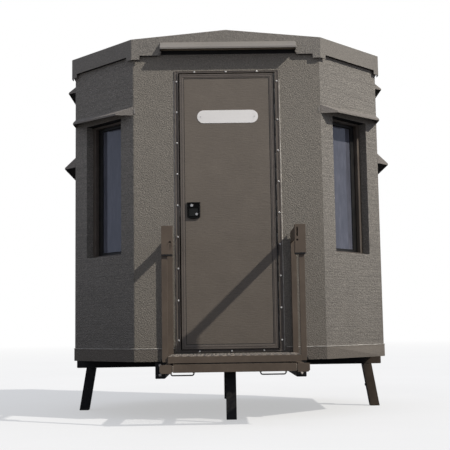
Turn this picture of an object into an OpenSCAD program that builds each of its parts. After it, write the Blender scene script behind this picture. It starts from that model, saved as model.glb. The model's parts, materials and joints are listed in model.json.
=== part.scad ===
// Elevated octagonal field blind: insulated eight-sided cabin on a steel stand
// with four splayed legs, an entry deck with handrails, a trimmed entry door
// and seven inward-opening windows under sheet-metal hoods.
// Millimetres, +Z up, ground plane at Z = 0, door faces -Y, left is -X.

/* [Cabin] */
// Width of the front and rear walls
front_width = 1200; // [1160:10:1260]
// Size of each 45 degree corner cut along X or Y
corner_cut = 435; // [420:5:460]
// Depth of the cabin, front wall to rear wall
body_depth = 1830; // [1780:10:1900]
// Height of the floor underside above the ground
floor_z = 364; // [350:2:390]
// Height from floor underside to the wall tops
wall_height = 1985; // [1980:1:1995]
// Height of the raised band around the wall bottoms
skirt_height = 80; // [60:5:90]

/* [Roof] */
// How far the roof edge stands out from the walls
eave_out = 23; // [15:1:30]
// Height from floor underside to the roof edge bottom
fascia_low = 1949; // [1945:1:1955]
// Height from floor underside to the roof edge top
fascia_high = 2058; // [2050:1:2070]
// Rise of the ridge above the roof edge
ridge_rise = 57; // [40:1:70]
// Width of each drop tab beside a roof corner
tab_width = 52; // [40:1:60]
// Drop of the corner tabs below the roof edge
tab_drop = 26; // [15:1:30]

/* [Windows] */
// Width of the tall corner window openings
tall_width = 360; // [330:5:370]
// Bottom of the tall openings above the floor underside
tall_sill = 676; // [660:2:700]
// Height of the tall window openings
tall_height = 890; // [860:5:892]
// Width of the low horizontal window openings
low_width = 760; // [700:5:780]
// Bottom of the low openings above the floor underside
low_sill = 1000; // [980:2:1004]
// Height of the low window openings
low_height = 295; // [290:1:300]
// How far the low window and vent hoods stand out
hood_out = 86; // [70:1:95]
// Rise of the tall window hoods towards the side walls
hood_rise = 18; // [0:1:25]

/* [Door] */
// Width of the door leaf
door_width = 604; // [600:2:612]
// Height of the door leaf
door_height = 1753; // [1740:1:1756]
// Door leaf bottom above the floor underside
door_sill = 73; // [72:1:76]
// Width of the blank name plate
plate_width = 389; // [300:1:400]
// Height of the latch centre above the floor underside
latch_z = 943; // [900:1:980]

/* [Stand and deck] */
// Side-leg foot distance from the cabin centre
foot_x = 1038; // [1000:2:1060]
// Front and rear foot distance from the cabin centre
foot_y = 870; // [840:2:880]
// Square size of the legs
leg_size = 64; // [60:1:66]
// How far the deck stands out from the front wall
deck_depth = 470; // [440:2:500]
// Half width of the deck frame
deck_half = 383; // [370:1:390]
// Sideways offset of the deck
deck_x = 16; // [0:1:20]
// Height of the handrails above the floor underside
rail_z = 798; // [760:2:820]

/* [Hidden] */
$fn = 32;
wall_thick = 60;
floor_top = 18;
half_front = front_width/2;
half_width = half_front + corner_cut;
half_depth = body_depth/2;
corner_length = corner_cut*sqrt(2);
side_length = body_depth - 2*corner_cut;
mitre = tan(22.5);
// the handrail boxes reach this far in front of the deck
rail_box_out = 4;
// cabin centre, set so that the whole depth is centred on Y = 0
cabin_y = (deck_depth + rail_box_out - hood_out)/2;

// wall faces: middle x, middle y, turn about Z and, on corner walls,
// which local x end (1 or -1) meets the side wall
corner_x = half_front + corner_cut/2;
corner_y = half_depth - corner_cut/2;
FRONT = [0, -half_depth, 0];
FRONT_RIGHT = [corner_x, -corner_y, 45, 1];
RIGHT = [half_width, 0, 90];
REAR_RIGHT = [corner_x, corner_y, 135, -1];
REAR = [0, half_depth, 180];
REAR_LEFT = [-corner_x, corner_y, 225, 1];
LEFT = [-half_width, 0, 270];
FRONT_LEFT = [-corner_x, -corner_y, 315, -1];
CORNERS = [FRONT_RIGHT, REAR_RIGHT, REAR_LEFT, FRONT_LEFT];

// colours shared by several pieces
black_paint = [0.05, 0.05, 0.05];
deck_paint = [0.34, 0.30, 0.27];
wall_paint = [0.42, 0.40, 0.37];
hood_paint = [0.38, 0.35, 0.32];
hinge_paint = [0.33, 0.30, 0.27];
screw_steel = [0.72, 0.72, 0.72];
latch_steel = [0.75, 0.75, 0.75];
frame_grey = [0.22, 0.21, 0.20];
sash_black = [0.04, 0.04, 0.04];
turn_black = [0.06, 0.06, 0.06];
glass_tint = [0.30, 0.31, 0.36, 0.6];

// ---------- placing ----------
// cabin centre at ground level
module on_ground() translate([0, cabin_y, 0]) children();
// cabin centre at the floor underside
module on_cabin() translate([0, cabin_y, floor_z]) children();
// middle of a wall face at the floor underside, +y points into the cabin
module on_wall(wall)
  translate([wall[0], wall[1] + cabin_y, floor_z]) rotate([0, 0, wall[2]]) children();
module up(z) translate([0, 0, z]) children();
module both_sides() for (side = [0, 1]) mirror([side, 0, 0]) children();

// ---------- shared shapes ----------
// corners of the cabin plan, grown outwards
function plan_points(grow) = let (
    front = half_front + grow*mitre,
    side = half_width + grow,
    depth = half_depth + grow,
    shoulder = depth - (side - front))
  [[-front, -depth], [front, -depth], [side, -shoulder], [side, shoulder],
   [front, depth], [-front, depth], [-side, shoulder], [-side, -shoulder]];
module plan(grow) polygon(plan_points(grow));
module corner_discs(grow, radius)
  for (point = plan_points(grow)) translate(point) circle(r = radius);

// box by its low and high corners
module box(low, high) translate(low) cube(high - low);
// box centred on x and z, sized [x, z], between two depths
module slab(size, y1, y2, grow = 0)
  box([-(size.x + grow)/2, y1, -(size.y + grow)/2], [(size.x + grow)/2, y2, (size.y + grow)/2]);
// cylinders and hexagon heads along x or y
module rod_x(radius, x1, x2)
  translate([x1, 0, 0]) rotate([0, 90, 0]) cylinder(r = radius, h = x2 - x1);
module rod_y(radius, y1, y2)
  translate([0, y2, 0]) rotate([90, 0, 0]) cylinder(r = radius, h = y2 - y1);
module hex_x(radius, x1, x2) rod_x(radius, x1, x2, $fn = 6);
module hex_y(radius, y1, y2) rod_y(radius, y1, y2, $fn = 6);
// square tube along axis 0 (x), 1 (y) or 2 (z)
module tube(low, high, axis) {
  wall = 3;
  inset = [for (i = [0:2]) i == axis ? -1 : wall];
  difference() {
    box(low, high);
    box(low + inset, high - inset);
  }
}

// ---------- stand ----------
// turn about Z, foot distance
LEGS = [[0, foot_x], [90, foot_y], [180, foot_x], [270, foot_y]];
leg_lean = 9.5;
beam_z = floor_z - 66;
beam_half = 33;
skid_x = 440;
skid_bolt_z = [-24, -83];
bolt_hole = 5.3;

// leg axis, from its foot on the ground
module along_leg(leg)
  rotate([0, 0, leg[0]]) translate([leg[1], 0, 0]) rotate([0, -leg_lean, 0]) children();
// bolt axis across a leg, a quarter turn round on the -X leg
module leg_bolt_place(leg) up(156) rotate([0, 0, leg[0] == 180 ? 90 : 0]) children();
module leg_bolt_hole(leg) leg_bolt_place(leg) rod_x(bolt_hole, -40, 40);
module skid_bolt_places()
  both_sides() for (z = skid_bolt_z) translate([skid_x, -half_depth, z]) children();

// crossed beams, two skids, a front crossbar and stubs inside the legs
module base_frame() color(black_paint) on_ground() difference() {
  union() {
    box([-1086, -beam_half, beam_z], [1086, beam_half, floor_z]);
    box([-beam_half, -half_depth + 10, beam_z], [beam_half, half_depth - 10, floor_z]);
    both_sides() box([skid_x - 31, -half_depth + 2, floor_z - 106],
      [skid_x + 31, half_depth - 2, floor_z]);
    box([-skid_x, -half_depth + 2, floor_z - 60], [skid_x, -half_depth + 52, floor_z - 10]);
    for (leg = LEGS) intersection() {
      along_leg(leg) box([-28, -28, beam_z - 190], [28, 28, floor_z - 20]);
      box([-1200, -1200, 10], [1200, 1200, floor_z - 30]);
    }
  }
  both_sides() box([skid_x - 27, -half_depth + 8, floor_z - 102],
    [skid_x + 27, -half_depth + 120, floor_z - 4]);
  up(floor_z) skid_bolt_places() rod_y(bolt_hole, -1, 9);
  for (leg = LEGS) along_leg(leg) leg_bolt_hole(leg);
}
// leaning tubes with closed feet, cut level at the ground and under the beams
module legs() color(black_paint) on_ground() for (leg = LEGS) intersection() {
  along_leg(leg) difference() {
    half = leg_size/2;
    bore = half - 3;
    box([-half, -half, -40], [half, half, floor_z]);
    box([-bore, -bore, 8], [bore, bore, floor_z + 1]);
    leg_bolt_hole(leg);
  }
  box([-1300, -1300, 0], [1300, 1300, beam_z - 0.6]);
}
// bolts of the legs, handrails and deck carrier
module frame_bolts() color([0.16, 0.16, 0.16]) {
  on_ground() for (leg = LEGS) along_leg(leg) leg_bolt_place(leg) {
    rod_x(5, -leg_size/2 - 8, leg_size/2 - 1);
    hex_x(9, -leg_size/2 - 8, -leg_size/2 - 0.2);
  }
  on_deck() both_sides() {
    side_bolt_place() {
      rod_x(5, 377, 424.4);
      hex_x(9, 416.7, 424.4);
    }
    rear_bolt_place() {
      rod_y(5, -56, -38);
      hex_y(9, -46.8, -38);
    }
  }
  on_cabin() skid_bolt_places() {
    rod_y(8.6, -1, 1.9);
    hex_y(8, -8, -1);
    rod_y(5, -3, 14);
  }
}

// ---------- deck ----------
deck_front = -half_depth - deck_depth;
deck_back = -half_depth - 52;
deck_top = 43;
deck_bar = 38;
deck_low = deck_top - deck_bar;
carrier_low = -49;

module on_deck() on_cabin() translate([deck_x, 0, 0]) children();
// handrail bolts: across the front posts, and behind the deck frame
module side_bolt_place() translate([0, deck_front + 26, 24]) children();
module rear_bolt_place() translate([360, -half_depth, 24]) children();

module deck_frame() color(deck_paint) on_deck() difference() {
  union() {
    for (y = [deck_front, deck_back - deck_bar]) {
      tube([-deck_half, y, deck_low], [deck_half, y + deck_bar, deck_top], 0);
      both_sides() box([deck_half - 6, y, deck_low], [deck_half, y + deck_bar, deck_top]);
    }
    for (x = [-deck_half, -deck_bar/2, deck_half - deck_bar])
      tube([x, deck_front + 30, deck_low], [x + deck_bar, deck_back - 30, deck_top], 1);
  }
  side_bolt_place() rod_x(bolt_hole, -deck_half - 2, deck_half + 2);
  both_sides() rear_bolt_place() rod_y(bolt_hole, -57, -50);
}
// flat plate, notched at the rear corners round the posts
module deck_mesh() color([0.30, 0.27, 0.25]) on_deck() difference() {
  box([-deck_half + 4, deck_front + 3, deck_top + 0.1],
    [deck_half - 4, -half_depth - 14, deck_top + 3.1]);
  both_sides() box([368, deck_back - 2, 0], [deck_half + 1, -half_depth, 60]);
}
// front cross tube and two arms back to the cabin
module deck_carrier() color(deck_paint) on_deck() {
  arm_x = 385;
  tube([-354, deck_front, carrier_low], [354, deck_front + 47, -2], 0);
  both_sides() {
    // front plate with a cut lower corner
    translate([0, deck_front + 5, 0]) rotate([90, 0, 0]) linear_extrude(6)
      polygon([[361, -4], [430, -4], [430, -44], [421, -54], [361, -54]]);
    box([arm_x - 22, deck_front + 4, carrier_low], [arm_x + 22, -half_depth - 5, -6]);
    box([342, deck_front + 8, -46], [366, deck_front + 46, -8]);
    box([arm_x - 29, -half_depth - 6, -58], [arm_x + 29, -half_depth + 0.8, -4]);
  }
}
// wire loop hanging under the carrier between two x positions
module step_loop(x1, x2) {
  wire = 4;
  translate([0, deck_front + 12, carrier_low - 16]) {
    rod_x(wire, x1, x2);
    for (x = [x1, x2]) translate([x, 0, 0]) {
      sphere(r = wire);
      cylinder(r = wire, h = 15.9);
    }
  }
}
module step_loops() color([0.10, 0.10, 0.10]) on_deck() {
  step_loop(-367, -235);
  step_loop(148, 294);
}
// handrail on the +x side: front post outside, rear post inside, flat-bar
// rail and a slotted front box; the left rail has its own box and slot
module handrail(left) {
  post = 33;
  front_x = 383.5;
  front_y = deck_front + 10;
  rear_x = 371;
  rear_y = -half_depth - 47;
  box_x1 = left ? 351 : 361.5;
  box_x2 = left ? 415.5 : 424;
  hole_x = left ? 365 : 375;
  box_front = deck_front - rail_box_out;
  difference() {
    union() {
      tube([front_x, front_y, 11], [front_x + post, front_y + post, rail_z - 20], 2);
      tube([rear_x, rear_y, 5], [rear_x + post, rear_y + post, rail_z - 20], 2);
      box([rear_x, rear_y, rail_z - 40], [rear_x + post, rear_y + post, rail_z - 20]);
      // flat-bar rail
      box([rear_x, deck_front + 50, rail_z - 72], [rear_x + 5, rear_y + post, rail_z]);
      // foot plates of the rear post
      box([340, rear_y - 4, 5], [rear_x + 4, rear_y, deck_top]);
      box([rear_x, rear_y - 4, 5], [rear_x + post, rear_y + 1, deck_top]);
      // hollow front box
      difference() {
        box([box_x1, box_front, rail_z - 167], [box_x2, deck_front + 56, rail_z]);
        box([box_x1 + 5, box_front + 5, rail_z - 162], [box_x2 - 5, deck_front + 51, rail_z - 5]);
      }
      box([front_x, front_y, rail_z - 165], [front_x + post, front_y + post, rail_z - 160]);
    }
    // round hole and slot in the box front
    translate([hole_x, deck_front, rail_z]) {
      up(left ? -95 : -92) rod_y(5.5, -5, 2);
      if (left) {
        box([-1.5, -5, -140], [1.5, 2, -106]);
      } else {
        for (z = [-67, -21]) up(z) rod_y(4, -5, 2);
        box([-4, -5, -67], [4, 2, -21]);
      }
    }
    side_bolt_place() rod_x(bolt_hole, 380, 425);
    rear_bolt_place() rod_y(bolt_hole, -53, -45);
  }
}
module handrail_right() color(deck_paint) on_deck() handrail(left = false);
module handrail_left() color(deck_paint) on_deck() mirror([1, 0, 0]) handrail(left = true);

// ---------- cabin ----------
tall_middle_z = tall_sill + tall_height/2;
low_middle_z = low_sill + low_height/2;

module floor_pan() color([0.36, 0.33, 0.31]) on_cabin() {
  up(0.1) linear_extrude(17.8) plan(0);
  up(17) linear_extrude(44) plan(-wall_thick - 0.5);
}
// raised band, cut away at the door
module base_skirt() color([0.40, 0.38, 0.35]) on_cabin() difference() {
  linear_extrude(skirt_height) difference() {
    plan(4.5);
    plan(0.1);
  }
  box([-343, -half_depth - 10, 47.5], [343, -half_depth + 1, skirt_height + 1]);
}
// wall panel with mitred ends, 0.1 short at each end
module panel(width) {
  outer = width/2 - 0.1;
  inner = outer - wall_thick*mitre;
  up(floor_top) linear_extrude(wall_height - floor_top)
    polygon([[-outer, 0], [outer, 0], [inner, wall_thick], [-inner, wall_thick]]);
}
// opening through a wall, sized [x, z]
module wall_opening(size, z) up(z) slab(size, -1, wall_thick + 1);
module low_opening() wall_opening([low_width, low_height], low_middle_z);

module wall_front() color(wall_paint) on_wall(FRONT) difference() {
  panel(front_width);
  door_box([10, 11, 9, 10.5], -1, wall_thick + 1);
  box([-half_door - 22, 3, latch_z - 16], [-half_door - 9, 30, latch_z + 16]);
}
module wall_rear() color(wall_paint) on_wall(REAR) difference() {
  panel(front_width);
  low_opening();
}
module side_walls() color(wall_paint) for (wall = [LEFT, RIGHT]) on_wall(wall) difference() {
  panel(side_length);
  low_opening();
  // vent slot
  wall_opening([300, 26], 1908);
}
module corner_walls() color(wall_paint) for (wall = CORNERS) on_wall(wall) difference() {
  panel(corner_length);
  wall_opening([tall_width, tall_height], tall_middle_z);
}
// bent strips joining the panels inside each corner
module corner_brackets() color([0.25, 0.25, 0.25]) on_cabin()
  up(62) linear_extrude(wall_height - 70) intersection() {
    difference() {
      plan(-wall_thick - 0.2);
      plan(-wall_thick - 3.2);
    }
    corner_discs(-wall_thick, 42);
  }

// ---------- hoods ----------
// side profile (y, z) crossed with a plan outline (x, y)
module hood_form(width, profile, outline) intersection() {
  rotate([90, 0, 90]) up(-width/2 - 5) linear_extrude(width + 10) polygon(profile);
  up(-200) linear_extrude(400) polygon(outline);
}
// sheet hood, open below and behind: widths at wall and lip, distance out,
// then heights of the bottom edge, the lip top and the wall top
module hood(width, lip, out, bottom, lip_top, wall_top) {
  side = 2.5;
  front = 2;
  slope = (wall_top - lip_top)/out;
  drop = side - front*slope;
  low = bottom - 9;
  difference() {
    hood_form(width,
      [[0, bottom], [0, wall_top], [-out, lip_top], [-out, bottom]],
      [[-width/2, 0], [width/2, 0], [lip/2, -out], [-lip/2, -out]]);
    hood_form(width,
      [[2, low], [2, wall_top - drop], [-out + front, lip_top - drop], [-out + front, low]],
      [[-width/2 + side, 2], [width/2 - side, 2], [width/2 - side, 0],
       [lip/2 - side, -out + front], [-lip/2 + side, -out + front], [-width/2 + side, 0]]);
  }
}
// hoods over the tall windows, rising towards the side walls
module corner_hoods() color(hood_paint) for (wall = CORNERS) on_wall(wall)
  up(1600) rotate([0, -wall[3]*atan(hood_rise/corner_length), 0])
    hood(corner_length - 3, corner_length - 2*80, 80, -26, -14, 30);
// the rear hood is as wide as the side ones
module low_hoods() color(hood_paint) for (wall = [RIGHT, REAR, LEFT]) on_wall(wall)
  up(1340) hood(side_length - 4, side_length - 2*hood_out, hood_out, -30, -19, 36);
module vent_hoods() color(hood_paint) for (wall = [RIGHT, LEFT]) on_wall(wall)
  up(1910) hood(600, 470, hood_out, -26, -16, 30);
module door_canopy() color(hood_paint) on_wall(FRONT)
  translate([13, -eave_out - 0.2, 1990]) hood(872, 872, 54, -13, -1, 46);

// ---------- roof ----------
// octagonal plan, ridge from the front peak to the rear peak
module roof_form(grow, low, high) hull() {
  up(low) linear_extrude(high - low) plan(grow);
  box([-0.5, -half_depth - grow, high - 1], [0.5, half_depth + grow, high + ridge_rise]);
}
module roof_core() color([0.55, 0.52, 0.48]) on_cabin() difference() {
  roof_form(eave_out - 5.5, wall_height + 0.2, fascia_high - 5.5);
  roof_form(-wall_thick - 60, wall_height - 1, fascia_high - 42);
}
module roof_cap() color([0.40, 0.37, 0.34]) on_cabin() difference() {
  tab_low = fascia_low - tab_drop;
  union() {
    roof_form(eave_out, fascia_low, fascia_high);
    up(tab_low) linear_extrude(tab_drop + 2) intersection() {
      plan(eave_out);
      corner_discs(eave_out, tab_width);
    }
  }
  roof_form(eave_out - 5, tab_low - 5, fascia_high - 5);
  // opening in the front edge above the door
  translate([0, -half_depth - 1, 0]) rotate([90, 0, 0]) linear_extrude(eave_out)
    polygon([[-433, fascia_low - 1], [-419, fascia_low + 17], [-419, 2000],
      [445, 2000], [445, fascia_low + 16], [457, fascia_low - 1]]);
}

// ---------- door frame ----------
half_door = door_width/2;
door_top = door_sill + door_height;
// outline of the door leaf, with no margins
LEAF = [0, 0, 0, 0];
// the leaf stands this far forward
door_out = 7;

// box round the leaf outline; margins are left, right, below, above
module door_box(margins, y1, y2)
  box([-half_door - margins[0], y1, door_sill - margins[2]],
    [half_door + margins[1], y2, door_top + margins[3]]);

module door_frame() color([0.37, 0.34, 0.31]) on_wall(FRONT) difference() {
  rebate = [8.5, 8.5, 2.5, 9];
  union() {
    // stepped trim on the wall face
    difference() {
      union() {
        box([-340, -3.5, 49], [340, -0.1, 1854]);
        box([-335, -5.5, 54], [335, -3, 1849]);
      }
      door_box(rebate, -13, 0);
    }
    // lining through the wall
    difference() {
      door_box([9, 9, 7, 9.5], -4, wall_thick);
      door_box([6, 6, 4, 6.5], -13, wall_thick + 1);
      door_box(rebate, -13, -1);
    }
    // inner stop behind the seal
    difference() {
      door_box([7, 7, 5, 7.5], 38.2, 44);
      door_box([-14, -14, -14, -14], 30, 50);
    }
  }
  // latch bolt opening
  box([-half_door - 12, 2, latch_z - 13], [-half_door - 4, 25, latch_z + 13]);
}
module trim_screw(x, z) translate([x, 0, z]) {
  rod_y(5.5, -7.8, -5.6);
  rod_y(3.4, -8.6, -7.6);
}
module trim_screws() color(screw_steel) on_wall(FRONT) {
  left_x = -321;
  right_x = 322;
  for (i = [0:7]) {
    trim_screw(left_x, 377 + 200.4*i);
    trim_screw(right_x, 124 + 200*i);
  }
  trim_screw(left_x, 129);
  trim_screw(right_x, 1778);
  for (x = [-201, 0, 201]) {
    trim_screw(x - 5, 1843);
    trim_screw(x + 8, 61);
  }
}
module door_seal() color([0.03, 0.03, 0.03]) on_wall(FRONT) difference() {
  door_box([4, 5, 3, 3], 32.8, 38);
  door_box([-11, -11, -11, -11], 30, 40);
}

// ---------- door leaf ----------
latch_x = -220;
latch_axle_z = 12;
plate_radius = 42;
plate_screw_x = plate_width/2 - 22;

module on_door() on_wall(FRONT) translate([0, -door_out, 0]) children();
module at_latch() translate([latch_x, 0, latch_z]) children();
module at_plate() translate([4, 0, 1546]) children();
// block of the latch cup
module cup(grow) box([-33 - grow, -7, -40 - grow], [33 + grow, 15.5 + grow, 40 + grow]);

module door_skin() color([0.39, 0.35, 0.32]) on_door() difference() {
  door_box(LEAF, -6, -4);
  at_latch() cup(0.5);
}
// extruded rim round the door leaf, proud of the skin
module door_edge_frame() color([0.37, 0.33, 0.30]) on_door() difference() {
  door_box([0, -2, 0, 0], -10, -6.1);
  door_box([-27, -28, -28, -28], -11, -5);
}
module door_core() color([0.45, 0.42, 0.38]) on_door() difference() {
  door_box(LEAF, -3.9, 32 + door_out);
  at_latch() cup(0.5);
  // channel of the latch bolt
  box([-half_door - 1, 5.9 + door_out, latch_z - 10.1], [-257, 20.1 + door_out, latch_z + 10.1]);
}
// plate with round ends
module nameplate() color([0.84, 0.83, 0.82]) on_door() at_plate() difference() {
  straight = plate_width - 2*plate_radius;
  union() {
    slab([straight, 2*plate_radius], -8, -6.1);
    both_sides() translate([straight/2, 0, 0]) rod_y(plate_radius, -8, -6.1);
  }
  both_sides() translate([plate_screw_x, 0, 0]) rod_y(2.2, -9, -5);
}
module door_screws() color(screw_steel) on_door() at_plate() both_sides()
  translate([plate_screw_x, 0, 0]) {
    rod_y(3.5, -9.8, -8.1);
    rod_y(2, -9, -6.1);
  }
module latch_housing() color(sash_black) on_door() at_latch() difference() {
  union() {
    // face plate with a rounded lower edge
    intersection() {
      box([-41.5, -16, -52], [41.5, -6.1, 52]);
      up(40) rod_y(92, -16, -6.1);
    }
    cup(-1);
    translate([-12, 0, 31.5]) rod_y(10.5, -17, -10);
  }
  box([-29, -18, -38], [29, 12, 17]);
  translate([0, -9, latch_axle_z]) rod_x(3.06, -36, 36);
}
// hinged paddle with its axle and a raised lower lip
module latch_paddle() color(black_paint) on_door() at_latch() {
  box([-27.5, -13, -35], [27.5, -7, latch_axle_z]);
  translate([0, -9, latch_axle_z]) {
    rod_x(4, -27.5, 27.5);
    rod_x(3, -35.8, 35.8);
  }
  box([-22, -15, -35], [12, -7, -27]);
}
// bar cut near its outer end by a block turned 45 degrees
module latch_bolt() color(latch_steel) on_wall(FRONT) up(latch_z) difference() {
  tip_x = -half_door - 14;
  box([tip_x, 6, -10], [-272, 20, 10]);
  translate([tip_x, 0, -11]) rotate([0, 0, -45]) box([-12, 8, 0], [12, 40, 22]);
}
module strike_plate() color(latch_steel) on_wall(FRONT)
  translate([-half_door, 0, latch_z]) difference() {
    box([-5.9, 0, -34], [-4.4, 28, 34]);
    box([-7, 4, -12], [-3, 22, 12]);
    for (z = [-25, 25]) translate([0, 13, z]) rod_x(2.2, -7, -3);
  }

// ---------- door hinge ----------
hinge_x = half_door + 3;
hinge_y = -11 - door_out;
knuckle_count = 17;
knuckle_pitch = door_height/knuckle_count;
knuckle_gap = 0.8;

// leaf of the continuous hinge: plate and tab are x ranges beyond the door
// edge, and every second knuckle counts from first
module hinge_leaf(plate, plate_front, tab, first) color(hinge_paint) on_wall(FRONT)
  difference() {
    length = knuckle_pitch - knuckle_gap;
    union() {
      box([half_door + plate[0], plate_front, door_sill], [half_door + plate[1], 25, door_top]);
      for (i = [first:2:knuckle_count - 1]) up(door_sill + i*knuckle_pitch + knuckle_gap/2) {
        box([half_door + tab[0], hinge_y, 0], [half_door + tab[1], -4, length]);
        translate([hinge_x, hinge_y, 0]) cylinder(r = 4.2, h = length);
      }
    }
    translate([hinge_x, hinge_y, door_sill - 5]) cylinder(r = 2.56, h = door_height + 10);
  }
module hinge_frame_leaf()
  hinge_leaf(plate = [4, 5.9], plate_front = -5, tab = [4.6, 5.9], first = 0);
module hinge_door_leaf()
  hinge_leaf(plate = [0.1, 2], plate_front = -5 - door_out, tab = [0.1, 1.4], first = 1);
module hinge_pin() color([0.6, 0.6, 0.6]) on_wall(FRONT) translate([hinge_x, hinge_y, 0]) {
  up(door_sill - 1) cylinder(r = 2.5, h = door_height + 2);
  up(door_top + 0.2) cylinder(r = 4, h = 2);
}

// ---------- windows ----------
// Each window is centred on its opening with the hinge on the +x side.
// [x, z] sizes: opening, visible frame width, hidden sash overlap, visible sash width
TALL = [[tall_width, tall_height], [30, 14], [25, 12], [35, 16]];
// low windows are drawn on end, then laid over
LOW = [[low_height, low_width], [14, 30], [12, 25], [16, 35]];
function clear_size(win) = win[0] - 2*win[1];
function sash_size(win) = clear_size(win) + 2*win[2];
function light_size(win) = clear_size(win) - 2*win[3];
function pin_x(win) = sash_size(win).x/2 + 3;
function turn_x(win) = 16 - sash_size(win).x/2;
function hinge_heights(win) = 0.32*win[0].y*[-1, 1];
pin_y = 107;

module window_frame(win) {
  opening = win[0];
  sash_edge = sash_size(win).x/2 + 2.5;
  edge = (opening.x + 14)/2;
  difference() {
    union() {
      slab(opening, 54, 80, -1);
      slab(opening, wall_thick + 0.2, 64, 50);
      slab(opening, 63, 99, 14);
      // hinge lugs
      for (z = hinge_heights(win), offset = [-26, 26]) up(z + offset) {
        box([sash_edge, 98, -4], [edge, 112, 4]);
        box([pin_x(win) - 4.5, 102.5, -4], [edge, 111.5, 4]);
      }
      // keeper of the turn latch
      box([-edge, 98, -15], [-edge + 3, 112, 15]);
      box([-edge, 108.6, -15], [-sash_edge, 112, 15]);
    }
    slab(clear_size(win), 50, 100);
    slab(sash_size(win), 80, 99.01, 4);
  }
  for (z = hinge_heights(win)) translate([pin_x(win), pin_y, z - 30]) cylinder(r = 3, h = 60);
}
module window_sash(win) difference() {
  union() {
    slab(sash_size(win), 81, 99);
    for (z = hinge_heights(win)) translate([pin_x(win), 0, z - 21]) {
      box([-22, 98, 0], [-2, 110, 42]);
      translate([0, pin_y, 0]) cylinder(r = 5.5, h = 42);
    }
  }
  slab(light_size(win), 80, 100);
  // glass groove
  slab(light_size(win), 87.8, 93.4, 16.4);
  for (z = hinge_heights(win)) translate([pin_x(win), pin_y, z - 22]) cylinder(r = 3.06, h = 44);
  translate([turn_x(win), 0, 0]) rod_y(4.06, 87, 100);
}
module window_glass(win) slab(light_size(win), 88, 93.2, 16);
// turn latch: spindle, tongue towards the keeper and handle
module window_turn(win) translate([turn_x(win), 0, 0]) {
  rod_y(4, 88, 100);
  rod_y(10, 99.3, 106.6);
  rod_y(7, 106, 111);
  box([-21, 102, -6], [0, 106.6, 6]);
  box([0, 104, -5], [52, 110, 5]);
  translate([52, 0, 0]) rod_y(6.5, 104, 110);
}

// mirrored where needed, so the hinges lie beside the front or rear wall
module at_tall(wall) on_wall(wall) up(tall_middle_z)
  mirror([wall[3] > 0 ? 1 : 0, 0, 0]) children();
module at_low(wall) on_wall(wall) up(low_middle_z) rotate([0, -90, 0]) children();
module tall_sash(wall) color(sash_black) at_tall(wall) window_sash(TALL);
module low_sash(wall) color(sash_black) at_low(wall) window_sash(LOW);
module tall_glass(wall) color(glass_tint) at_tall(wall) window_glass(TALL);
module low_glass(wall) color(glass_tint) at_low(wall) window_glass(LOW);
module tall_turn(wall) color(turn_black) at_tall(wall) window_turn(TALL);
module low_turn(wall) color(turn_black) at_low(wall) window_turn(LOW);

module tall_window_frames() color(frame_grey)
  for (wall = CORNERS) at_tall(wall) window_frame(TALL);
module low_window_frames() color(frame_grey)
  for (wall = [LEFT, RIGHT, REAR]) at_low(wall) window_frame(LOW);
module sash_front_left() tall_sash(FRONT_LEFT);
module sash_front_right() tall_sash(FRONT_RIGHT);
module sash_rear_left() tall_sash(REAR_LEFT);
module sash_rear_right() tall_sash(REAR_RIGHT);
module sash_left() low_sash(LEFT);
module sash_right() low_sash(RIGHT);
module sash_rear() low_sash(REAR);
module glass_front_left() tall_glass(FRONT_LEFT);
module glass_front_right() tall_glass(FRONT_RIGHT);
module glass_rear_left() tall_glass(REAR_LEFT);
module glass_rear_right() tall_glass(REAR_RIGHT);
module glass_left() low_glass(LEFT);
module glass_right() low_glass(RIGHT);
module glass_rear() low_glass(REAR);
module turn_front_left() tall_turn(FRONT_LEFT);
module turn_front_right() tall_turn(FRONT_RIGHT);
module turn_rear_left() tall_turn(REAR_LEFT);
module turn_rear_right() tall_turn(REAR_RIGHT);
module turn_left() low_turn(LEFT);
module turn_right() low_turn(RIGHT);
module turn_rear() low_turn(REAR);

base_frame();
legs();
frame_bolts();
deck_frame();
deck_mesh();
deck_carrier();
step_loops();
handrail_left();
handrail_right();
floor_pan();
base_skirt();
wall_front();
wall_rear();
side_walls();
corner_walls();
corner_brackets();
corner_hoods();
low_hoods();
vent_hoods();
roof_core();
roof_cap();
door_canopy();
door_frame();
trim_screws();
door_seal();
door_skin();
door_edge_frame();
door_core();
nameplate();
door_screws();
latch_housing();
latch_paddle();
latch_bolt();
strike_plate();
hinge_frame_leaf();
hinge_door_leaf();
hinge_pin();
tall_window_frames();
low_window_frames();
sash_front_left();
sash_front_right();
sash_rear_left();
sash_rear_right();
sash_left();
sash_right();
sash_rear();
glass_front_left();
glass_front_right();
glass_rear_left();
glass_rear_right();
glass_left();
glass_right();
glass_rear();
turn_front_left();
turn_front_right();
turn_rear_left();
turn_rear_right();
turn_left();
turn_right();
turn_rear();
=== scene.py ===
"""An eight-sided cabin on a steel stand, with a door, a small deck and handrails in front.

Metres, +Z up. The door wall faces -Y, the cabin is centred on X = 0, and +X is on the
right when looking at the door.
"""
import bpy, bmesh, json, math, random
from mathutils import Vector, Matrix


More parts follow.
